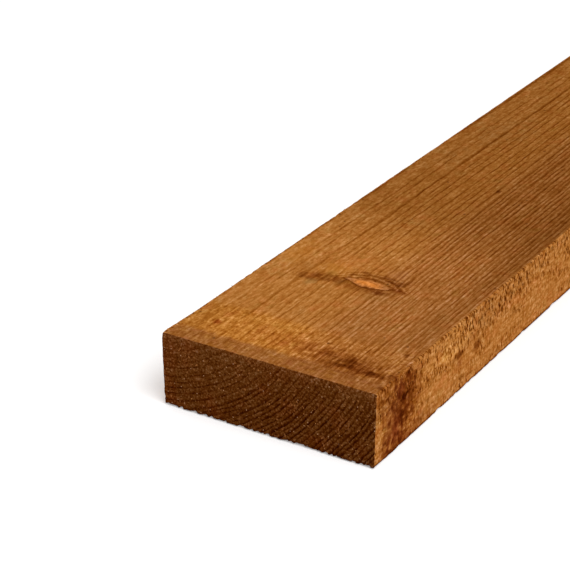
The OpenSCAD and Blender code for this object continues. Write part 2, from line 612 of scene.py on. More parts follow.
def deepened(nodes, colour, *depths):
    """A colour under so many coats, each given with the light that one full coat leaves."""
    for depth, tint in depths:
        kept = (nodes.math("POWER", part, depth) for part in tint)
        colour = nodes.vector("MULTIPLY", colour, nodes.join(*kept))
    return colour


def stained(nodes, place, colours, uneven, colour):
    """The pooled treatment, which soaks up more of the light the more of it there is."""
    soaked, red = 0.0, 0.0
    for stain in STAINS:
        share = spread(nodes, place, stain, uneven)
        soaked = nodes.math("MULTIPLY_ADD", share, stain.soaked, soaked)
        if stain.red:
            red = nodes.math("MULTIPLY_ADD", share, stain.red, red)
    return deepened(nodes, colour, (soaked, colours.stain), (red, colours.red_stain))


EDGE_FACE_RIM = (1.6, 0.9)  # from the edge faces in, where their finish gives way to the flat faces'
END_FACE_RIM = (0.85, 0.45)  # the same for the sawn ends
DULL_BAND = (18.5, 11.5)  # along: where the dull band by the sawn end fades out
BRIGHT_BAND = (11.5, 19.0), (60.0, 50.0)  # along: where the bright, torn band starts and ends
BAND_WAVE = 2.6


def edges_and_ends(nodes, place):
    """Shares of the two edge faces and of the two sawn ends, 1 on them."""
    right = place.across.between(*(WIDTH - inset for inset in EDGE_FACE_RIM))
    far_end = place.along.between(*(LENGTH - inset for inset in END_FACE_RIM))
    edges = nodes.most(right, place.across.between(*EDGE_FACE_RIM))
    ends = nodes.most(place.along.between(*END_FACE_RIM), far_end)
    return edges, ends


def zones(nodes, place):
    """Shares of the faces, and of the dull band by the near end and the bright, torn one after it."""
    edges, ends = edges_and_ends(nodes, place)
    wavy = place.along + nodes.cloud(place.at, "band edge") * BAND_WAVE
    starts, stops = BRIGHT_BAND
    bright = wavy.between(*starts) * wavy.between(*stops)
    return Zones(edges, 1.0 - edges, ends, wavy.between(*DULL_BAND), bright)


TEAR_LEAN = 0.2  # how far a tear leans along the beam for each millimetre down
TORN_DEPTHS = (30.0, 13.0)  # the edge faces are more torn above these depths
ROUGH_PATCH = (95.0, 140.0), (250.0, 205.0)  # along: where the roughest stretch starts and ends
ROUGH_DEPTHS = (21.0, 11.0)


def upright_hatch(nodes, place):
    """Fine marks across the grain of the edge faces, leaning a little."""
    leaning = nodes.join(place.across, place.along - place.deep * TEAR_LEAN, place.deep)
    return nodes.cloud(leaning, "upright tears")


def torn_grain(nodes, place, edges, hatch):
    """Short upright tears in the edge faces, deep in patches and near the upper arris."""
    patches = nodes.cloud(place.at, "torn patches") * 0.9 + place.deep.between(*TORN_DEPTHS) * 0.8
    starts, stops = ROUGH_PATCH
    roughest = place.along.between(*starts) * place.along.between(*stops)
    roughest = roughest * place.deep.between(*ROUGH_DEPTHS)
    tears = hatch.between(0.0, 0.75) * (patches.between(-0.35, 1.15) + roughest * 0.32)
    return (tears * 1.15 + hatch * 0.24) * edges


# Where each part of a knot fades, counted in its own half sizes from its middle line
KNOT_COVER = (1.25, 0.8)
KNOT_LINE = (0.8, 1.05), (1.6, 1.1)
KNOT_ARCS = (1.0, 1.4), (4.6, 1.8)
KNOT_HALO = (5.0, 1.0)
KNOT_BEFORE = (1.5, -1.5)  # millimetres along, from behind the knot to before it
ARC_TURNS, ARC_START = 6.3, 4.9  # how close the arcs behind a knot are, and where the first one is
HEART_TURNS = 14.0  # how close a knot's own rings are


def knot_heart(nodes, colours, rim, tall, worn, torn):
    """The inside of a knot: bright in the middle, with its own fine rings."""
    core = (rim + worn * 0.3 + torn * 0.2).between(0.15, 0.9)
    heart = nodes.paint(core, colours.knot_heart, colours.knot_rim)
    tips = (tall + worn * 0.14 + torn * 0.1).between(0.12, 0.6)
    heart = nodes.paint(tips, heart, colours.knot_tips)
    turns = nodes.math("SINE", rim * HEART_TURNS + worn * 2.4) * 0.1 + worn * 0.26 + torn * 0.14
    return deepened(nodes, heart, (turns, colours.grain_tint))


def knotted(nodes, place, colours, wood, colour):
    """Each knot's bright heart, the dark line before it and the arcs behind it."""
    worn = nodes.cloud(place.at, "knot wear")
    torn = nodes.cloud(place.at, "knot tears")
    for rim, ahead, tall in wood.knots:
        edge = rim + torn * 0.2 + worn * 0.16
        before = ahead.between(*KNOT_BEFORE)
        rises, falls = KNOT_LINE
        line = edge.between(*rises) * edge.between(*falls)
        rises, falls = KNOT_ARCS
        arcs = nodes.math("SINE", edge * ARC_TURNS + ARC_START)
        arcs = arcs * edge.between(*rises) * edge.between(*falls)
        behind = (1.0 - before) * (arcs * (torn * 0.35 + 0.32) + worn * 0.14)
        halo = rim.between(*KNOT_HALO) * 0.12 + line * (before * 0.66 + 0.12 + worn * 0.35) + behind
        colour = deepened(nodes, colour, (halo, colours.grain_tint))
        heart = knot_heart(nodes, colours, rim, tall, worn, torn)
        colour = nodes.paint(edge.between(*KNOT_COVER), colour, heart)
    return colour


KEEN_RINGS = (95.0, 55.0)  # across: the late wood's lines are narrower left of these
DARKER_ALONG, DARKER_ACROSS = (60.0, 300.0), (2.0, 100.0)  # the lines are darker past these
CALM_BY_KNOTS = (0.8, 3.6)  # in a knot's half sizes: the lines are faint nearer than these


def ring_depth(nodes, place, wood, zone):
    """How dark each ring's late wood is, from line to line and along each one."""
    fade = nodes.cloud(nodes.join(wood.radius, place.along, 0.0), "ring fade")
    fibre = nodes.cloud(place.at, "ring fibre")
    broken = nodes.cloud(place.at, "ring breaks")
    keen = nodes.math("POWER", wood.late, place.across.between(*KEEN_RINGS) * 0.6 + 1.0)
    line = keen + (wood.broad - keen) * zone.bright * 0.4
    further = place.along.between(*DARKER_ALONG) * 0.26
    strength = (place.across.between(*DARKER_ACROSS) * 0.13 + 0.25 + further) * 0.86
    calm = nodes.least(*(rim for rim, _, _ in wood.knots)).between(*CALM_BY_KNOTS) * 0.7 + 0.3
    bold = wood.draw * 0.28 + fade * 0.32 + fibre * 0.5 + broken * (zone.bright * 0.6 + 0.25) + 1.0
    line = line * nodes.most(bold, 0.0) * strength * calm
    return line * (1.0 - zone.edges * 0.8) * (1.0 - zone.dull * 0.6)


GOLDEN_SIDE = (180.0, 70.0)  # across: the wood is more golden left of these
ASHEN_SIDE = (65.0, 95.0)  # across: the wood is greyer right of these


def base_wood(nodes, place, colours, zone, small):
    """The wood's own hues: patches of redder, yellower and greyer wood, large and small."""
    golden = (zone.bright * 0.6 + 0.06) * place.across.between(*GOLDEN_SIDE)
    colour = nodes.paint(golden * zone.flat, colours.early_wood, colours.golden)
    ashen = place.across.between(*ASHEN_SIDE) * zone.flat * 0.2
    colour = nodes.paint(ashen, colour, colours.ashen)
    blotch = nodes.cloud(place.at, "blotches")
    wash = nodes.cloud(place.at, "wash")
    red = (small * 0.5 + blotch * 0.5).between(-0.1, 1.1)
    colour = nodes.paint(red * 0.6, colour, colours.reddish)
    grey = (wash * 0.8 - small * 0.6).between(0.0, 1.2) * (1.0 - zone.bright)
    colour = nodes.paint(grey * 0.4, colour, colours.greyish)
    olive = (blotch * 0.5 - small * 0.6).between(0.1, 1.0)
    colour = nodes.paint(olive * 0.4, colour, colours.olive)
    return deepened(nodes, colour, (small * 0.02 - wash * 0.03 + 0.02, colours.grain_tint))


def dull_band(nodes, place, colours, zone, colour):
    """The dull band by the sawn end, with pinker and yellower patches."""
    share = zone.dull * zone.flat
    colour = nodes.paint(share * 0.65, colour, colours.dull_band)
    pink = nodes.cloud(place.at, "dull blotches")
    colour = nodes.paint(pink.between(0.1, 0.9) * share * 0.45, colour, colours.dull_pink)
    return nodes.paint(pink.between(-0.1, -0.9) * share * 0.4, colour, colours.dull_ochre)


# Where the flat faces get painted shade, darker and greyer, in millimetres
SHADED_ALONG, SHADE_FADES_ALONG = (175.0, 270.0), (420.0, 900.0)
SHADED_ACROSS, SHADED_LEFT = (50.0, 140.0), (30.0, 4.0)
# This strip by the right arris gets painted shade of its own
SHADED_STRIP = (118.0, 145.0)  # across: this strip has a dullness of its own
STRIP_SHADED, STRIP_SHADIEST = (50.0, 75.0), ((135.0, 165.0), (250.0, 200.0))  # along


def painted_shade(place, zone):
    """Painted shade: how much darker and greyer the flat faces are painted further along, towards the
    right, and by the left arris.
    """
    across, along = place.across, place.along
    away = along.between(*SHADED_ALONG) * 0.33 - along.between(*SHADE_FADES_ALONG) * 0.25
    away = away + across.between(*SHADED_ACROSS) * 0.12
    away = away + zone.bright * across.between(*SHADED_LEFT) * 0.2
    starts, stops = STRIP_SHADIEST
    strip = along.between(*STRIP_SHADED) * 0.14 + along.between(*starts) * along.between(*stops) * 0.1
    away = away + across.between(*SHADED_STRIP) * strip
    return (away * (1.0 - zone.dull) + zone.dull * 0.07) * zone.flat


HAIRY_ACROSS = (85.0, 120.0)  # the hair lines are stronger right of these
STREAKY_ALONG = (320.0, 700.0)


def mottle(nodes, place, wood, zone, small):
    """Depth of the fibres, grit and flecks between the lines of the rings."""
    hair = nodes.cloud(nodes.join(wood.radius, place.along, 0.0), "hair lines")
    hair = hair * (zone.flat - zone.dull * 0.5) * (place.across.between(*HAIRY_ACROSS) * 0.1 + 0.23)
    streaks = nodes.cloud(place.at, "long streaks") * place.along.between(*STREAKY_ALONG) * 0.26
    grit = nodes.cloud(place.at, "grit") * 0.27
    crumb_depth = zone.bright * 0.1 + zone.dull * 0.1 + zone.edges * 0.06 + 0.14
    crumbs = nodes.cloud(place.at, "crumbs") * crumb_depth
    fleck_depth = zone.bright * 0.32 + zone.dull * 0.2 + zone.edges * 0.08
    flecks = nodes.cloud(place.at, "flecks") * fleck_depth
    return hair + streaks + grit + crumbs + flecks + small * zone.dull * 0.14


# Painted shade: the long faces are painted darker just above the lower arrises
LOW_ARRIS_SHADE = (47.8, 49.2)  # deep: the long faces darken at the lower arrises
GLINT_RISE = (0.4, 1.1)
SPECK_RADII = (0.13, 0.06)  # in cells of the dot pattern


def grained(nodes, place, colours, wood, zone, small, colour):
    """A colour darkened by the rings, the fibres, the tears and painted shade, with glints and specks of
    pitch.
    """
    torn = torn_grain(nodes, place, zone.edges, upright_hatch(nodes, place))
    fluff = nodes.cloud(place.at, "fluff").between(0.0, 0.8) * zone.edges * 0.12
    # The ring lines, plus painted shade along the lower arrises
    lines = ring_depth(nodes, place, wood, zone) + place.deep.between(*LOW_ARRIS_SHADE) * 0.9
    depth = mottle(nodes, place, wood, zone, small) + lines + torn - fluff
    # Painted shade: darker and greyer further along, towards the right and by the left arris
    away = painted_shade(place, zone)
    colour = deepened(nodes, colour, (depth, colours.grain_tint), (away, colours.painted_shade))
    # Glints: pale wood flecks, partly painted highlights, as the faces have no gloss of their own
    glints = nodes.cloud(place.at, "glints").between(*GLINT_RISE)
    glints = glints * (zone.bright * 0.42 + zone.flat * 0.04 + 0.09)
    colour = nodes.paint(glints, colour, colours.glints)
    specks = nodes.dots(place.at, "pitch specks").between(*SPECK_RADII)
    return nodes.paint(specks * 0.6, colour, colours.pitch)


def long_grain(nodes, place, colours, wood, zone):
    """The four long faces: their hues, the grain, and then the patches, stains and knots."""
    small = nodes.cloud(place.at, "small blotches")
    colour = base_wood(nodes, place, colours, zone, small)
    colour = dull_band(nodes, place, colours, zone, colour)
    colour = grained(nodes, place, colours, wood, zone, small, colour)
    uneven = nodes.cloud(place.at, "ragged rims") * 0.65
    uneven = uneven + nodes.cloud(place.at, "short streaks") * zone.flat * 0.35
    uneven = uneven + upright_hatch(nodes, place) * zone.edges * 0.2
    for patch in PATCHES:
        share = spread(nodes, place, patch, uneven) * patch.share
        colour = nodes.paint(share, colour, patch.colour)
    colour = stained(nodes, place, colours, uneven, colour)
    return knotted(nodes, place, colours, wood, colour)


CLEAR_ACROSS, CLEAR_TOP, CLEAR_DEEP = (15.0, 95.0), (0.0, 24.0), (4.0, 30.0)  # the rings show past these
LEFT_STRIP = (11.0, 7.0)  # across: the sawn ends are redder left of these
TOP_STRIP = (5.0, 1.0)  # deep: and paler above these
# Deep: the sawn ends are painted darker along the lower edge, as shade
BOTTOM_EDGE_SHADE = (48.4, 49.6)
LOW_CORNER = (20.0, 4.0), (16.0, 44.0)  # across and deep: the darker corner at the lower left
SPARK_RADII = (0.18, 0.1)  # in cells of the dot pattern


def end_faces(nodes, place, colours, wood):
    """The sawn ends: rings, pores, pale grit and a redder strip along the left edge."""
    across, deep = place.across, place.deep
    polar = nodes.join(wood.radius, place.along, wood.arc)
    beads = nodes.cloud(polar, "end beads")
    clear = across.between(*CLEAR_ACROSS) * (deep.between(*CLEAR_TOP) * 0.32 + 0.2)
    clear = clear + deep.between(*CLEAR_DEEP) * 0.32 + 0.23
    line = wood.late * nodes.most(wood.draw * 0.35 + beads * 0.7 + 0.95, 0.0) * clear * 0.9
    red = across.between(*LEFT_STRIP) * 0.5 + nodes.cloud(place.at, "end red") * 0.7
    colour = nodes.paint(red * 0.6, colours.end_grain, colours.end_red)
    colour = nodes.paint(deep.between(*TOP_STRIP) * 0.3, colour, colours.end_top)
    depth = line + nodes.cloud(place.at, "end pores") * 0.46 + nodes.cloud(place.at, "end crumbs") * 0.5
    depth = depth + nodes.cloud(polar, "end wisps") * 0.24 + nodes.cloud(place.at, "end fuzz") * 0.16
    # Darker towards the bottom, with painted shade along the lower edge
    depth = depth + deep * 0.003 - 0.06 + deep.between(*BOTTOM_EDGE_SHADE) * 0.4
    left, low = LOW_CORNER
    depth = depth + across.between(*left) * deep.between(*low) * 0.1
    colour = deepened(nodes, colour, (depth, colours.end_tint))
    where = nodes.cloud(place.at, "end clearings").between(-0.6, 0.8) * 0.45 + 0.12
    grit = nodes.cloud(place.at, "end grit").between(0.45, 0.85)
    colour = nodes.paint(grit * where, colour, colours.end_grit)
    sparks = nodes.dots(place.at, "end sparks").between(*SPARK_RADII)
    return nodes.paint(sparks * 0.85, colour, colours.end_sparks)


# Heights of the relief's parts, in millimetres
FIBRE_HEIGHT, FLUFF_HEIGHT, LATE_HEIGHT, TEAR_DEPTH, PORE_HEIGHT = 0.06, 0.12, 0.08, 0.45, 0.16


def fine_relief(nodes, place, wood, ends, tears):
    """Height of the fibres, tears and pores, in millimetres."""
    fibres = nodes.cloud(place.at, "fibre relief") * FIBRE_HEIGHT
    fluff = nodes.cloud(place.at, "fluff relief") * FLUFF_HEIGHT
    pores = nodes.cloud(place.at, "pore relief") * PORE_HEIGHT
    along = fibres + fluff + wood.late * LATE_HEIGHT - tears * TEAR_DEPTH
    return along * (1.0 - ends) + pores * ends


def new_material(name):
    """A new material with an empty tree."""
    material = bpy.data.materials.new(name)
    material.use_nodes = True
    material.node_tree.nodes.clear()
    return material, Nodes(material.node_tree)


def matt_surface(nodes, inputs):
    """Ends a material's tree: a matt surface with these inputs."""
    shader = nodes.wired("ShaderNodeBsdfPrincipled", {"Specular IOR Level": 0.0, **inputs})
    output = nodes.add("ShaderNodeOutputMaterial")
    nodes.tree.links.new(shader.outputs[0], output.inputs["Surface"])


def own_position(nodes):
    """Each point's place in its own piece, in metres."""
    return Field(nodes, nodes.add("ShaderNodeTexCoord").outputs["Object"])


def treated_wood(settings):
    """The beam's one material: every face cut from the same block of rings."""
    material, nodes = new_material("treated_fir")
    place = measured(nodes, own_position(nodes), settings.grain)
    wood = growth(nodes, place, settings.grain)
    zone = zones(nodes, place)
    long_faces = long_grain(nodes, place, settings.colours, wood, zone)
    sawn_ends = end_faces(nodes, place, settings.colours, wood)
    colour = nodes.paint(zone.ends, long_faces, sawn_ends)
    tears = torn_grain(nodes, place, zone.edges, upright_hatch(nodes, place))
    height = fine_relief(nodes, place, wood, zone.ends, tears)
    bump = nodes.wired("ShaderNodeBump", {"Strength": 1.0, "Distance": MM, "Height": height})
    rough = nodes.cloud(place.at, "roughness") * 0.05 + 0.76 + zone.ends * 0.14 - wood.late * 0.06
    normal = Field(nodes, bump.outputs[0])
    matt_surface(nodes, {"Base Color": colour, "Roughness": rough, "Normal": normal})
    return material


def torn_fibre_finish(settings):
    """Bare fibres, paler than the treated faces, each of its own shade."""
    material, nodes = new_material("torn_fibre")
    place = measured(nodes, own_position(nodes), settings.grain)
    pale = nodes.cloud(place.at, "fibre shades")
    colours = settings.colours
    colour = nodes.paint(pale.between(-0.6, 1.0), colours.fibre_shade, colours.torn_fibre)
    matt_surface(nodes, {"Base Color": colour, "Roughness": pale * 0.08 + 0.8})
    return material


# ---------------------------------------------------------------------------------------------------
# Geometry trees
# ---------------------------------------------------------------------------------------------------

SOCKETS = {float: "NodeSocketFloat", int: "NodeSocketInt"}  # any other input is a material


def geometry_tree(name, inputs, takes_mesh):
    """A new tree with its named inputs, their defaults set, and its one output."""
    tree = bpy.data.node_groups.new(name, "GeometryNodeTree")
    sockets = tree.interface
    if takes_mesh:
        sockets.new_socket("Geometry", in_out="INPUT", socket_type="NodeSocketGeometry")
    for label, value in inputs.items():
        kind = SOCKETS.get(type(value), "NodeSocketMaterial")
        socket = sockets.new_socket(label, in_out="INPUT", socket_type=kind)
        socket.default_value = value
    sockets.new_socket("Geometry", in_out="OUTPUT", socket_type="NodeSocketGeometry")
    nodes = Nodes(tree)
    group = nodes.add("NodeGroupInput")
    given = {socket.name: Field(nodes, socket) for socket in group.outputs if socket.name}
    return tree, nodes, given


def finish_tree(nodes, geometry, material):
    """Ends a tree as every piece's tree ends: realized, with its material."""
    real = nodes.wired("GeometryNodeRealizeInstances", {"Geometry": geometry})
    inputs = {"Geometry": Field(nodes, real.outputs[0]), "Material": material}
    dressed = nodes.wired("GeometryNodeSetMaterial", inputs)
    output = nodes.add("NodeGroupOutput")
    nodes.tree.links.new(dressed.outputs[0], output.inputs[0])


def moved(nodes, geometry, **inputs):
    """Sets the positions of a geometry's points, or their offsets."""
    node = nodes.wired("GeometryNodeSetPosition", {"Geometry": geometry, **inputs})
    return Field(nodes, node.outputs[0])


def run_tree(name, tree, inputs, mesh):
    """Runs a tree on a mesh and returns an object with the plain result."""
    piece = bpy.data.objects.new(name, mesh)
    bpy.context.scene.collection.objects.link(piece)
    modifier = piece.modifiers.new(tree.name, "NODES")
    modifier.node_group = tree
    for item in tree.interface.items_tree:
        if item.name in inputs:
            modifier[item.identifier] = inputs[item.name]
    graph = bpy.context.evaluated_depsgraph_get()
    result = bpy.data.meshes.new_from_object(piece.evaluated_get(graph), depsgraph=graph)
    piece.modifiers.remove(modifier)
    piece.data = result
    result.name = name
    return piece


# ---------------------------------------------------------------------------------------------------
# The beam's body
# ---------------------------------------------------------------------------------------------------

# Stretches of the length and the spacing of the rows of cells in each, from the near end
NEAR_ROWS = ((3.0, 0.5), (317.0, 3.2), (200.0, 8.0))
FAR_ROWS = ((57.0, 4.5), (3.0, 0.75))
MIDDLE_ROWS = (LENGTH - sum(stretch for stretch, _ in NEAR_ROWS + FAR_ROWS), 32.0)
ROW_STRETCHES = (*NEAR_ROWS, MIDDLE_ROWS, *FAR_ROWS)
CELLS_ACROSS = 156
CELLS_THROUGH = 40
CROWDING = 1.35  # radians: how much closer the cells are by the arrises than in the middle of a face


def row_stations():
    """How many rows of cells there are, and the curve from a row's share of them to its place."""
    counts = [round(stretch / step) for stretch, step in ROW_STRETCHES]
    total = sum(counts)
    points, rows, reached = [(0.0, 0.0)], 0, 0.0
    for count, (stretch, _) in zip(counts, ROW_STRETCHES):
        rows += count
        reached += stretch
        points.append((rows / total, reached / LENGTH))
    return total, points


def along_curve(nodes, share, points):
    """A share of the rows as a share of the length."""
    node = nodes.wired("ShaderNodeFloatCurve", {"Value": share})
    curve = node.mapping.curves[0]
    curve.points[0].location = points[0]
    curve.points[-1].location = points[-1]
    for x, y in points[1:-1]:
        curve.points.new(x, y)
    for point in curve.points:
        point.handle_type = "VECTOR"
    node.mapping.update()
    return Field(nodes, node.outputs[0])


def crowded(nodes, share):
    """-1 to 1 as -1 to 1, with the steps closer near both ends."""
    return nodes.math("SINE", share * CROWDING) / math.sin(CROWDING)


# Where the chips along the lower edges start and are full, in millimetres up from the lower face and
# along from the near end
END_CHIPS_RISE, END_CHIPS_ALONG = (9.0, 4.0), (9.0, 4.0)
LOW_CHIPS_RISE = (8.0, 3.0)
CORNER_REACH = (6.0, 1.0)  # from a corner


def edge_radius(nodes, place, given):
    """Radius of the rounded edges, larger where the edge is bitten and at the two knocked corners."""
    bites = nodes.cloud(place.at, "arris bites").between(-0.2, 1.1)
    wear = given["Arris Radius"] + (given["Arris Wear"] - given["Arris Radius"]) * bites
    under = nodes.least(place.deep, THICKNESS - place.deep)
    corner = nodes.far(place.across, place.along, under).between(*CORNER_REACH) * given["Corner Wear"]
    teeth = nodes.cloud(place.at, "saw teeth").between(-0.25, 0.45) * given["Saw Break Out"]
    low_end = place.deep.between(*(THICKNESS - rise for rise in END_CHIPS_RISE))
    low_end = low_end * place.along.between(*END_CHIPS_ALONG)
    chips = nodes.cloud(place.at, "low chips").between(-0.2, 0.6) * given["Low Arris Wear"]
    low = place.deep.between(*(THICKNESS - rise for rise in LOW_CHIPS_RISE))
    return nodes.most(wear, corner, teeth * low_end, chips * low)


def rounded(nodes, position, given):
    """The box's surface drawn in to the edge radius."""
    place = measured(nodes, position, given["grain"])
    radius = edge_radius(nodes, place, given)
    half = nodes.join(given["Width"] * 0.5, given["Length"] * 0.5, given["Thickness"] * 0.5)
    middle = nodes.join(0.0, 0.0, given["Thickness"] * 0.5)
    inset = nodes.vector("SUBTRACT", half, nodes.join(radius, radius, radius))
    spot = nodes.vector("SUBTRACT", position, middle)
    core = nodes.vector("MINIMUM", nodes.vector("MAXIMUM", spot, nodes.scaled(inset, -1.0)), inset)
    outward = nodes.vector("NORMALIZE", nodes.vector("SUBTRACT", spot, core))
    return nodes.vector("ADD", nodes.vector("ADD", core, middle), nodes.scaled(outward, radius))


def face_height(nodes, position, given):
    """Relief of the faces in metres: proud late wood, the saw's unevenness and a slow waviness."""
    place = measured(nodes, position, given["grain"])
    wood = growth(nodes, place, given["grain"])
    _, ends = edges_and_ends(nodes, place)
    uneven = nodes.cloud(place.at, "saw marks") * 0.45
    slow = nodes.cloud(place.at, "slow waves") * 0.55
    relief = (uneven + slow) * given["Face Relief"]
    return relief * (1.0 - ends * 0.4) + (wood.late - 0.4) * given["Ring Relief"]


# How far the lean reaches, in millimetres from the near end and from the left edge
LEAN_ALONG, LEAN_ACROSS = (45.0, 0.0), (25.0, 0.0)


def leaning_corner(nodes, position, given):
    """How far the left face leans outward at the top of the near end."""
    place = measured(nodes, position, given["grain"])
    near = place.along.between(*LEAN_ALONG) * place.across.between(*LEAN_ACROSS)
    return nodes.join(near * place.deep.between(THICKNESS, 0.0) * given["Corner Lean"] * -1.0, 0.0, 0.0)


def beam_body_tree(settings, material):
    """A lattice box whose cells crowd towards the arrises, rounded there and given its relief."""
    rows, stations = row_stations()
    surface = settings.surface
    inputs = {
        "Width": WIDTH * MM,
        "Thickness": THICKNESS * MM,
        "Length": LENGTH * MM,
        "Cells Across": CELLS_ACROSS,
        "Cells Through": CELLS_THROUGH,
        "Cells Along": rows,
        "Arris Radius": surface.arris_radius,
        "Arris Wear": surface.arris_wear,
        "Corner Wear": surface.corner_wear,
        "Saw Break Out": surface.saw_break_out,
        "Corner Lean": surface.corner_lean,
        "Low Arris Wear": surface.low_arris_wear,
        "Ring Relief": surface.ring_relief,
        "Face Relief": surface.face_relief,
        "Material": material,
    }
    tree, nodes, given = geometry_tree("sawn_beam_body", inputs, takes_mesh=False)
    given["grain"] = settings.grain
    cube = nodes.wired(
        "GeometryNodeMeshCube",
        {
            "Size": (2.0, 2.0, 2.0),  # from -1 to 1 each way
            "Vertices X": given["Cells Across"] + 1,
            "Vertices Y": given["Cells Along"] + 1,
            "Vertices Z": given["Cells Through"] + 1,
        },
    )
    position = Field(nodes, nodes.add("GeometryNodeInputPosition").outputs[0])
    x, y, z = nodes.split(position)
    share = along_curve(nodes, y * 0.5 + 0.5, stations)
    lattice = nodes.join(
        crowded(nodes, x) * given["Width"] * 0.5,
        (share - 0.5) * given["Length"],
        (crowded(nodes, z) + 1.0) * given["Thickness"] * 0.5,
    )
    body = moved(nodes, Field(nodes, cube.outputs["Mesh"]), Position=lattice)
    body = moved(nodes, body, Position=rounded(nodes, position, given))
    normal = Field(nodes, nodes.add("GeometryNodeInputNormal").outputs[0])
    offset = nodes.scaled(normal, face_height(nodes, position, given))
    body = moved(nodes, body, Offset=offset)
    body = moved(nodes, body, Offset=leaning_corner(nodes, position, given))
    smooth = nodes.wired("GeometryNodeSetShadeSmooth", {"Geometry": body})
    finish_tree(nodes, Field(nodes, smooth.outputs[0]), given["Material"])
    return tree, inputs


# Where each stretch of the length lies on the beam's own texture map, as shares of it
MAP_STRETCHES = ((0.0, 400.0, LENGTH), (0.0, 0.36, 1.0))
MAP_GAP = 4.0
END_MAP_GAP = 0.02  # between the two ends, which share one column of the map, as a share of its half


def lay_out_map(mesh):
    """Gives the body its own texture map: the long faces side by side, and the ends beside them."""
    corners = np.empty(len(mesh.loops), np.int32)
    mesh.loops.foreach_get("vertex_index", corners)
    points = np.empty(len(mesh.vertices) * 3, np.float32)
    mesh.vertices.foreach_get("co", points)
    spots = (points.reshape(-1, 3)[corners] - (LOW.x, LOW.y, LOW.z)) / MM
    normals = np.empty(len(mesh.polygons) * 3, np.float32)
    mesh.polygons.foreach_get("normal", normals)
    sides = np.empty(len(mesh.polygons), np.int32)
    mesh.polygons.foreach_get("loop_total", sides)
    facing = np.repeat(normals.reshape(-1, 3), sides, axis=0)
    axis = np.abs(facing).argmax(axis=1)
    ahead = facing[np.arange(len(axis)), axis] > 0
    across, along, up = spots.T
    girth = np.select(
        [(axis == 2) & ahead, (axis == 0) & ahead, (axis == 2) & ~ahead, axis == 0],
        [across, WIDTH + THICKNESS - up, 2 * WIDTH + THICKNESS - across, 2 * WIDTH + THICKNESS + up],
        default=2 * (WIDTH + THICKNESS) + MAP_GAP + up,
    )
    v = np.interp(along, *MAP_STRETCHES)
    on_end = axis == 1
    v[on_end] = (across[on_end] / WIDTH * (1 - END_MAP_GAP) + ahead[on_end] * (1 + END_MAP_GAP)) / 2
    u = (girth + MAP_GAP) / (2 * WIDTH + 3 * THICKNESS + 3 * MAP_GAP)
    layer = mesh.uv_layers.new(name="OFBake")
    layer.uv.foreach_set("vector", np.stack([u, v], axis=1).astype(np.float32).ravel())


# ---------------------------------------------------------------------------------------------------
# Torn fibres
# ---------------------------------------------------------------------------------------------------

FIBRES_ON_ENDS = 16000.0  # to the square metre
FIBRES_ON_ARRISES = 30000.0
FIBRE_SEED = 7
FIBRE_LEAN = (1.0, 0.6, 1.0)  # how far a fibre may lean each way, beside an outward part of FIBRE_RISE
FIBRE_RISE = 0.35
FIBRE_FLATNESS = 0.6  # its thickness as a share of its width
FIBRE_TIP, FIBRE_ROOT = 0.12, 0.5  # radii as shares of its width
SHORTEST_FIBRE = 0.25  # as a share of the longest
# Where fibres stand, in millimetres from the arris, from the end and from the lower face
ARRIS_BAND, RIM_BAND = (2.2, 0.6), (1.6, 0.4)
FIBRES_ALONG = (420.0, 120.0)
BARE_BOTTOM = (0.4, 1.2)


def fibre_density(nodes, place):
    """How many fibres stand up on each square metre: over the ends and along the arrises by them."""
    _, ends = edges_and_ends(nodes, place)
    aside = nodes.least(place.across, WIDTH - place.across)
    deep = nodes.least(place.deep, THICKNESS - place.deep)
    ahead = nodes.least(place.along, LENGTH - place.along)
    arris = nodes.most(aside, deep).between(*ARRIS_BAND) * ahead.between(*FIBRES_ALONG)
    rim = nodes.least(aside, deep).between(*RIM_BAND) * ends
    clear = place.deep.between(*(THICKNESS - rise for rise in BARE_BOTTOM))
    return (ends * FIBRES_ON_ENDS + (arris * (1.0 - ends) + rim) * FIBRES_ON_ARRISES) * clear


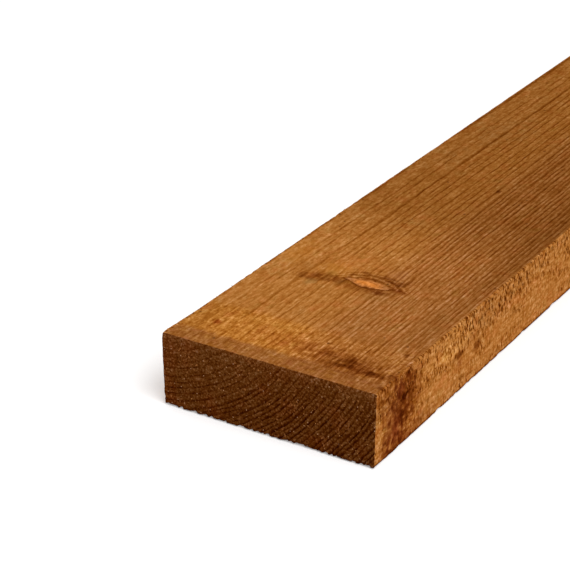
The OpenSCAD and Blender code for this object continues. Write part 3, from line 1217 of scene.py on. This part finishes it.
def fibre_tree(settings, material):
    """Slivers scattered over the ends and the arrises, each leaning its own way."""
    surface = settings.surface
    inputs = {
        "Fibre Length": surface.fibre_length,
        "Fibre Width": surface.fibre_width,
        "Seed": FIBRE_SEED,
        "Material": material,
    }
    tree, nodes, given = geometry_tree("torn_fibres", inputs, takes_mesh=True)
    position = Field(nodes, nodes.add("GeometryNodeInputPosition").outputs[0])
    place = measured(nodes, position, settings.grain)
    scatter = nodes.wired(
        "GeometryNodeDistributePointsOnFaces",
        {"Mesh": given["Geometry"], "Density": fibre_density(nodes, place), "Seed": given["Seed"]},
    )
    points = Field(nodes, scatter.outputs["Points"])
    normal = Field(nodes, scatter.outputs["Normal"])
    cone = nodes.wired(
        "GeometryNodeMeshCone",
        {"Vertices": 4, "Radius Top": FIBRE_TIP, "Radius Bottom": FIBRE_ROOT, "Depth": 1.0},
        fill_type="NGON",
    )
    lean = nodes.add("FunctionNodeRandomValue", data_type="FLOAT_VECTOR")
    nodes.feed(lean.inputs["Min"], tuple(-reach for reach in FIBRE_LEAN))
    nodes.feed(lean.inputs["Max"], FIBRE_LEAN)
    nodes.feed(lean.inputs["Seed"], given["Seed"] + 1)
    tip = nodes.vector("ADD", nodes.scaled(normal, FIBRE_RISE), Field(nodes, lean.outputs[0]))
    turn = nodes.wired("FunctionNodeAlignRotationToVector", {"Vector": tip}, axis="Z")
    grown = nodes.add("FunctionNodeRandomValue", data_type="FLOAT")
    least, most = 2, 3  # the node's inputs for plain numbers, after those for vectors
    nodes.feed(grown.inputs[least], SHORTEST_FIBRE)
    nodes.feed(grown.inputs[most], 1.0)
    nodes.feed(grown.inputs["Seed"], given["Seed"] + 2)
    share = Field(nodes, grown.outputs[1])
    width = given["Fibre Width"]
    scale = nodes.join(width, width * FIBRE_FLATNESS, given["Fibre Length"] * share)
    placed = nodes.wired(
        "GeometryNodeInstanceOnPoints",
        {
            "Points": points,
            "Instance": Field(nodes, cone.outputs["Mesh"]),
            "Rotation": Field(nodes, turn.outputs[0]),
            "Scale": scale,
        },
    )
    finish_tree(nodes, Field(nodes, placed.outputs[0]), given["Material"])
    return tree, inputs


# ---------------------------------------------------------------------------------------------------
# The studio
# ---------------------------------------------------------------------------------------------------

FLOOR_SIZE = 60.0
FLOOR_DROP = 0.0006  # under the lowest relief of the lower face
FLOOR_FADE = (0.9, 2.4)  # from the beam's middle: the floor turns plain white between these
FLOOR_FADE_SHAPE = (1.4, 0.7)  # the fade is nearer at the beam's sides than at its ends
LAMP_SIZE = 2.4
LAMP_FROM_TARGET = (2.0, -1.1, 2.9)
LAMP_TARGET_ALONG = 0.2  # from the near end, on the upper face
CLIP_START, CLIP_END = 0.05, 200.0
WHITE = (1.0, 1.0, 1.0, 1.0)


def studio_camera(studio):
    """The camera, aimed at a point on the upper face."""
    data = bpy.data.cameras.new("studio_camera")
    data.lens = studio.lens
    data.clip_start, data.clip_end = CLIP_START, CLIP_END
    camera = bpy.data.objects.new("studio_camera", data)
    bpy.context.scene.collection.objects.link(camera)
    turn, rise, roll = studio.azimuth, studio.elevation, studio.roll
    level = math.cos(rise)
    back = Vector((math.sin(turn) * level, -math.cos(turn) * level, math.sin(rise)))
    right = Vector((0.0, 0.0, 1.0)).cross(back).normalized()
    right = Matrix.Rotation(roll, 3, back) @ right
    up = back.cross(right)
    aim = Vector((LOW.x + studio.aim_across, LOW.y + studio.aim_along, HIGH.z))
    axes = Matrix((right, up, back)).transposed().to_4x4()
    camera.matrix_world = Matrix.Translation(aim + back * studio.distance) @ axes
    bpy.context.scene.camera = camera


def seen_directly(nodes):
    """1 for rays from the camera, in reflections and through glass, and 0 for light that bounces."""
    path = nodes.add("ShaderNodeLightPath")
    kinds = ("Is Camera Ray", "Is Glossy Ray", "Is Transmission Ray")
    return nodes.most(*(Field(nodes, path.outputs[kind]) for kind in kinds))


def studio_world(studio):
    """Even white light from all round, which the camera and every reflection see as white."""
    world = bpy.data.worlds.new("studio_room")
    world.use_nodes = True
    tree = world.node_tree
    tree.nodes.clear()
    nodes = Nodes(tree)
    strength = seen_directly(nodes) * (1.0 - studio.room_light) + studio.room_light
    light = nodes.wired("ShaderNodeBackground", {"Color": WHITE, "Strength": strength})
    output = nodes.add("ShaderNodeOutputWorld")
    tree.links.new(light.outputs[0], output.inputs["Surface"])
    bpy.context.scene.world = world


def studio_lamp(studio):
    """One large soft lamp, high and to the right of the beam."""
    data = bpy.data.lights.new("soft_lamp", "AREA")
    data.shape = "SQUARE"
    data.size = LAMP_SIZE
    data.energy = studio.lamp_power
    lamp = bpy.data.objects.new("soft_lamp", data)
    bpy.context.scene.collection.objects.link(lamp)
    target = Vector((0.0, LOW.y + LAMP_TARGET_ALONG, HIGH.z))
    lamp.location = target + Vector(LAMP_FROM_TARGET)
    lamp.rotation_mode = "QUATERNION"
    lamp.rotation_quaternion = (lamp.location - target).to_track_quat("Z", "Y")


def studio_floor(studio):
    """A plain pale floor under the beam."""
    half = FLOOR_SIZE / 2
    plan = ((-half, -half), (half, -half), (half, half), (-half, half))
    corners = [(x, y, LOW.z - FLOOR_DROP) for x, y in plan]
    mesh = bpy.data.meshes.new("floor")
    mesh.from_pydata(corners, [], [(0, 1, 2, 3)])
    floor = bpy.data.objects.new("floor", mesh)
    bpy.context.scene.collection.objects.link(floor)
    mesh.materials.append(floor_finish(studio))


def floor_finish(studio):
    """Matt and pale, a little brighter to the camera and in reflections than its light makes it."""
    material, nodes = new_material("pale_floor")
    x, y, _ = nodes.split(own_position(nodes))
    aside, ahead = FLOOR_FADE_SHAPE
    away = nodes.far(x * aside, y * ahead).between(*FLOOR_FADE)
    glow = away * (1.0 - studio.room_light - studio.floor_glow) + studio.floor_glow
    inputs = {
        "Base Color": (*studio.floor_colour, 1.0),
        "Roughness": 1.0,
        "Emission Color": WHITE,
        "Emission Strength": seen_directly(nodes) * glow,
    }
    matt_surface(nodes, inputs)
    return material


# ---------------------------------------------------------------------------------------------------
# Operators and panel
# ---------------------------------------------------------------------------------------------------


class SawnBeamSettings(bpy.types.PropertyGroup):
    """All the settings of the beam and its studio."""

    grain: bpy.props.PointerProperty(type=SawnBeamGrain)
    surface: bpy.props.PointerProperty(type=SawnBeamSurface)
    colours: bpy.props.PointerProperty(type=SawnBeamColours)
    studio: bpy.props.PointerProperty(type=SawnBeamStudio)


def rides_the_beam(piece):
    """Ties a finished piece to the beam's body."""
    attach(piece, BODY)


class SAWN_BEAM_OT_body(bpy.types.Operator):
    """Make the sawn body, with its rings, knots and stains"""

    bl_idname = "sawn_beam.body"
    bl_label = "Sawn Body"

    def execute(self, context):
        settings = context.scene.sawn_beam
        tree, inputs = beam_body_tree(settings, treated_wood(settings))
        body = run_tree("sawn_body", tree, inputs, bpy.data.meshes.new("lattice"))
        lay_out_map(body.data)
        rides_the_beam(body)
        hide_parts(BEAM_NODE)
        return {"FINISHED"}


class SAWN_BEAM_OT_fibres(bpy.types.Operator):
    """Scatter torn fibres over the sawn ends and the arrises near them"""

    bl_idname = "sawn_beam.fibres"
    bl_label = "Torn Fibres"

    def execute(self, context):
        settings = context.scene.sawn_beam
        body = bpy.data.objects.get("sawn_body")
        if body is None:
            raise RuntimeError("make the sawn body first: the fibres stand on it")
        tree, inputs = fibre_tree(settings, torn_fibre_finish(settings))
        fibres = run_tree("torn_fibres", tree, inputs, body.data)
        rides_the_beam(fibres)
        return {"FINISHED"}


class SAWN_BEAM_OT_studio(bpy.types.Operator):
    """Set up the camera, the soft light and the pale floor"""

    bl_idname = "sawn_beam.studio"
    bl_label = "Studio"

    def execute(self, context):
        studio = context.scene.sawn_beam.studio
        studio_camera(studio)
        studio_world(studio)
        studio_lamp(studio)
        studio_floor(studio)
        context.scene.view_settings.view_transform = "Standard"
        return {"FINISHED"}


class SAWN_BEAM_PT_panel(bpy.types.Panel):
    """Lists the beam's pieces and settings"""

    bl_label = "Sawn Beam"
    bl_space_type = "VIEW_3D"
    bl_region_type = "UI"
    bl_category = "Sawn Beam"

    def draw(self, context):
        settings = context.scene.sawn_beam
        for operator in (SAWN_BEAM_OT_studio, SAWN_BEAM_OT_body, SAWN_BEAM_OT_fibres):
            self.layout.operator(operator.bl_idname)
        for group in (settings.grain, settings.surface, settings.colours, settings.studio):
            box = self.layout.box()
            box.label(text=group.bl_rna.description)
            for name in group.bl_rna.properties.keys():
                if name not in ("rna_type", "name"):
                    box.prop(group, name)


CLASSES = (
    SawnBeamGrain,
    SawnBeamSurface,
    SawnBeamColours,
    SawnBeamStudio,
    SawnBeamSettings,
    SAWN_BEAM_OT_studio,
    SAWN_BEAM_OT_body,
    SAWN_BEAM_OT_fibres,
    SAWN_BEAM_PT_panel,
)


def register():
    for cls in CLASSES:
        bpy.utils.register_class(cls)
    bpy.types.Scene.sawn_beam = bpy.props.PointerProperty(type=SawnBeamSettings)


def unregister():
    del bpy.types.Scene.sawn_beam
    for cls in reversed(CLASSES):
        bpy.utils.unregister_class(cls)


def main():
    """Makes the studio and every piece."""
    register()
    bpy.ops.sawn_beam.studio()
    bpy.ops.sawn_beam.body()
    bpy.ops.sawn_beam.fibres()


if __name__ == "__main__":
    main()
